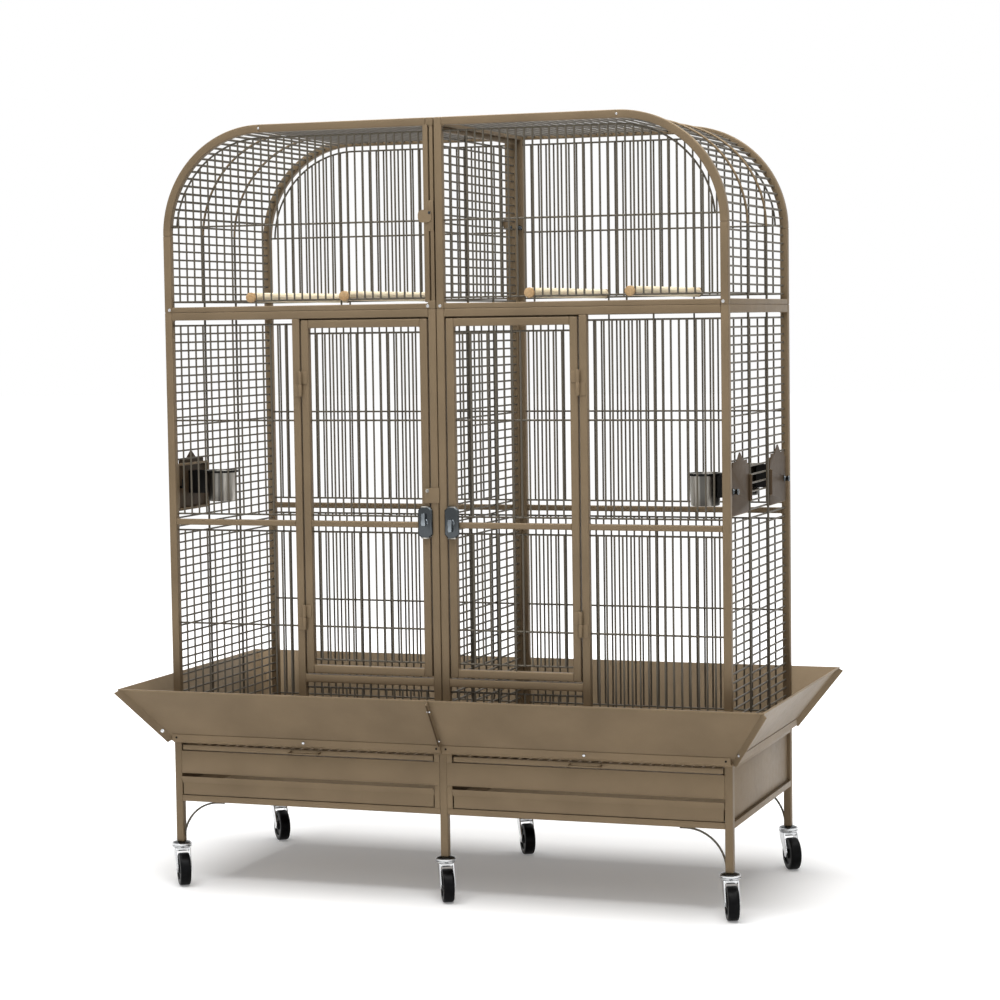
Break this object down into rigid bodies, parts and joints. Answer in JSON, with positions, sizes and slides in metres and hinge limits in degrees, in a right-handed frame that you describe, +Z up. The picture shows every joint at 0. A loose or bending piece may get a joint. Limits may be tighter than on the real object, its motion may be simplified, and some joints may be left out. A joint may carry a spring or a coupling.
{
  "type": "double parrot cage on casters",
  "caption": "Double parrot cage with an arched roof, a middle divider, hinged front doors, swing-out feeders, sliding grates and trays, sloped skirts and casters.",
  "frame": {"origin": "On the floor under the middle of the cage.", "axes": "+X to the right along the front, +Y to the back, +Z up; the doors face -Y."},
  "size_m": [1.6382, 0.8192, 1.863],
  "materials": {
    "frame_paint": "satin bronze-brown powder coat",
    "bar_paint": "satin brown powder coat on welded bar",
    "caster_chrome": "bright plated",
    "wheel_rubber": "matt black",
    "cup_steel": "brushed stainless",
    "perch_wood": "plain turned dowel",
    "lock_black": "dark plated"
  },
  "bodies": {
    "cage": {"stand_legs": "frame_paint", "base_panels": "frame_paint", "base_runners": "frame_paint", "front_skirts": "frame_paint", "back_skirts": "frame_paint", "left_skirt": "frame_paint", "right_skirt": "frame_paint", "lower_frame": "frame_paint", "upper_frame": "frame_paint", "upper_hoops": "frame_paint", "divider_frame": "frame_paint", "door_hinge_pins": "frame_paint", "feeder_ports": "frame_paint", "leg_braces": "frame_paint", "front_lower_bars": "bar_paint", "back_lower_bars": "bar_paint", "left_side_bars": "bar_paint", "right_side_bars": "bar_paint", "front_upper_bars": "bar_paint", "back_upper_bars": "bar_paint", "rim_wires": "bar_paint", "left_arch_bars": "bar_paint", "right_arch_bars": "bar_paint", "divider_bars": "bar_paint", "perches": "perch_wood", "caster_heads": "caster_chrome"},
    "left_door": {"left_door_frame": "frame_paint", "left_door_bars": "bar_paint", "left_lock_case": "lock_black", "left_door_stop": "frame_paint"},
    "left_lock": {"left_lock_handle": "caster_chrome"},
    "right_door": {"right_door_frame": "frame_paint", "right_door_bars": "bar_paint", "right_lock_case": "lock_black"},
    "right_lock": {"right_lock_handle": "caster_chrome"},
    "right_front_feeder": {"right_front_feeder_door": "frame_paint"},
    "right_front_latch": {"right_front_feeder_latch": "lock_black"},
    "right_front_bowl": {"right_front_cup": "cup_steel"},
    "right_back_feeder": {"right_back_feeder_door": "frame_paint"},
    "right_back_latch": {"right_back_feeder_latch": "lock_black"},
    "right_back_bowl": {"right_back_cup": "cup_steel"},
    "left_front_feeder": {"left_front_feeder_door": "frame_paint"},
    "left_front_latch": {"left_front_feeder_latch": "lock_black"},
    "left_front_bowl": {"left_front_cup": "cup_steel"},
    "left_grate_body": {"left_grate": "frame_paint"},
    "left_tray_body": {"left_tray": "frame_paint"},
    "right_grate_body": {"right_grate": "frame_paint"},
    "right_tray_body": {"right_tray": "frame_paint"},
    "front_left_swivel": {"front_left_fork": "caster_chrome"},
    "front_left_roller": {"front_left_wheel": "wheel_rubber"},
    "front_centre_swivel": {"front_centre_fork": "caster_chrome"},
    "front_centre_roller": {"front_centre_wheel": "wheel_rubber"},
    "front_right_swivel": {"front_right_fork": "caster_chrome"},
    "front_right_roller": {"front_right_wheel": "wheel_rubber"},
    "back_left_swivel": {"back_left_fork": "caster_chrome"},
    "back_left_roller": {"back_left_wheel": "wheel_rubber"},
    "back_centre_swivel": {"back_centre_fork": "caster_chrome"},
    "back_centre_roller": {"back_centre_wheel": "wheel_rubber"},
    "back_right_swivel": {"back_right_fork": "caster_chrome"},
    "back_right_roller": {"back_right_wheel": "wheel_rubber"}
  },
  "joints": [
    {"name": "left_door_hinge", "type": "hinge", "parent": "cage", "child": "left_door", "pos_m": [-0.351, -0.3065, 0.9645], "axis": [0, 0, -1], "range_deg": [0, 170]},
    {"name": "left_lock_turn", "type": "hinge", "parent": "left_door", "child": "left_lock", "pos_m": [-0.0335, -0.3015, 0.908], "axis": [0, 1, 0], "range_deg": [0, 90]},
    {"name": "right_door_hinge", "type": "hinge", "parent": "cage", "child": "right_door", "pos_m": [0.351, -0.3065, 0.9645], "axis": [0, 0, 1], "range_deg": [0, 170]},
    {"name": "right_lock_turn", "type": "hinge", "parent": "right_door", "child": "right_lock", "pos_m": [0.0335, -0.3015, 0.908], "axis": [0, -1, 0], "range_deg": [0, 90]},
    {"name": "right_front_feeder_hinge", "type": "hinge", "parent": "cage", "child": "right_front_feeder", "pos_m": [0.7083, -0.1012, 0.9835], "axis": [0, 0, 1], "range_deg": [0, 100]},
    {"name": "right_front_latch_turn", "type": "hinge", "parent": "right_front_feeder", "child": "right_front_latch", "pos_m": [0.7038, -0.254, 0.9835], "axis": [1, 0, 0], "range_deg": [0, 90]},
    {"name": "right_front_cup_lift", "type": "slide", "parent": "right_front_feeder", "child": "right_front_bowl", "axis": [0, 0, 1], "range_m": [0, 0.09]},
    {"name": "right_back_feeder_hinge", "type": "hinge", "parent": "cage", "child": "right_back_feeder", "pos_m": [0.7083, 0.1012, 0.9835], "axis": [0, 0, -1], "range_deg": [0, 100]},
    {"name": "right_back_latch_turn", "type": "hinge", "parent": "right_back_feeder", "child": "right_back_latch", "pos_m": [0.7038, 0.254, 0.9835], "axis": [-1, 0, 0], "range_deg": [0, 90]},
    {"name": "right_back_cup_lift", "type": "slide", "parent": "right_back_feeder", "child": "right_back_bowl", "axis": [0, 0, 1], "range_m": [0, 0.09]},
    {"name": "left_front_feeder_hinge", "type": "hinge", "parent": "cage", "child": "left_front_feeder", "pos_m": [-0.7083, -0.1012, 0.9835], "axis": [0, 0, -1], "range_deg": [0, 100]},
    {"name": "left_front_latch_turn", "type": "hinge", "parent": "left_front_feeder", "child": "left_front_latch", "pos_m": [-0.7038, -0.254, 0.9835], "axis": [1, 0, 0], "range_deg": [0, 90]},
    {"name": "left_front_cup_lift", "type": "slide", "parent": "left_front_feeder", "child": "left_front_bowl", "axis": [0, 0, 1], "range_m": [0, 0.09]},
    {"name": "left_grate_slide", "type": "slide", "parent": "cage", "child": "left_grate_body", "axis": [0, -1, 0], "range_m": [0, 0.45]},
    {"name": "left_tray_slide", "type": "slide", "parent": "cage", "child": "left_tray_body", "axis": [0, -1, 0], "range_m": [0, 0.45]},
    {"name": "right_grate_slide", "type": "slide", "parent": "cage", "child": "right_grate_body", "axis": [0, -1, 0], "range_m": [0, 0.45]},
    {"name": "right_tray_slide", "type": "slide", "parent": "cage", "child": "right_tray_body", "axis": [0, -1, 0], "range_m": [0, 0.45]},
    {"name": "front_left_swivel_turn", "type": "hinge", "parent": "cage", "child": "front_left_swivel", "pos_m": [-0.7015, -0.292, 0.091], "axis": [0, 0, 1], "continuous": true},
    {"name": "front_left_wheel_turn", "type": "hinge", "parent": "front_left_swivel", "child": "front_left_roller", "pos_m": [-0.68472, -0.31687, 0.04], "axis": [-0.829, -0.5592, 0], "continuous": true},
    {"name": "front_centre_swivel_turn", "type": "hinge", "parent": "cage", "child": "front_centre_swivel", "pos_m": [0, -0.292, 0.091], "axis": [0, 0, 1], "continuous": true},
    {"name": "front_centre_wheel_turn", "type": "hinge", "parent": "front_centre_swivel", "child": "front_centre_roller", "pos_m": [0.01362, -0.31873, 0.04], "axis": [-0.891, -0.454, 0], "continuous": true},
    {"name": "front_right_swivel_turn", "type": "hinge", "parent": "cage", "child": "front_right_swivel", "pos_m": [0.7015, -0.292, 0.091], "axis": [0, 0, 1], "continuous": true},
    {"name": "front_right_wheel_turn", "type": "hinge", "parent": "front_right_swivel", "child": "front_right_roller", "pos_m": [0.71274, -0.31982, 0.04], "axis": [-0.9272, -0.3746, 0], "continuous": true},
    {"name": "back_left_swivel_turn", "type": "hinge", "parent": "cage", "child": "back_left_swivel", "pos_m": [-0.7015, 0.292, 0.091], "axis": [0, 0, 1], "continuous": true},
    {"name": "back_left_wheel_turn", "type": "hinge", "parent": "back_left_swivel", "child": "back_left_roller", "pos_m": [-0.68262, 0.26869, 0.04], "axis": [-0.7771, -0.6293, 0], "continuous": true},
    {"name": "back_centre_swivel_turn", "type": "hinge", "parent": "cage", "child": "back_centre_swivel", "pos_m": [0, 0.292, 0.091], "axis": [0, 0, 1], "continuous": true},
    {"name": "back_centre_wheel_turn", "type": "hinge", "parent": "back_centre_swivel", "child": "back_centre_roller", "pos_m": [0.01545, 0.26628, 0.04], "axis": [-0.8572, -0.515, 0], "continuous": true},
    {"name": "back_right_swivel_turn", "type": "hinge", "parent": "cage", "child": "back_right_swivel", "pos_m": [0.7015, 0.292, 0.091], "axis": [0, 0, 1], "continuous": true},
    {"name": "back_right_wheel_turn", "type": "hinge", "parent": "back_right_swivel", "child": "back_right_roller", "pos_m": [0.71695, 0.26628, 0.04], "axis": [-0.8572, -0.515, 0], "continuous": true}
  ]
}
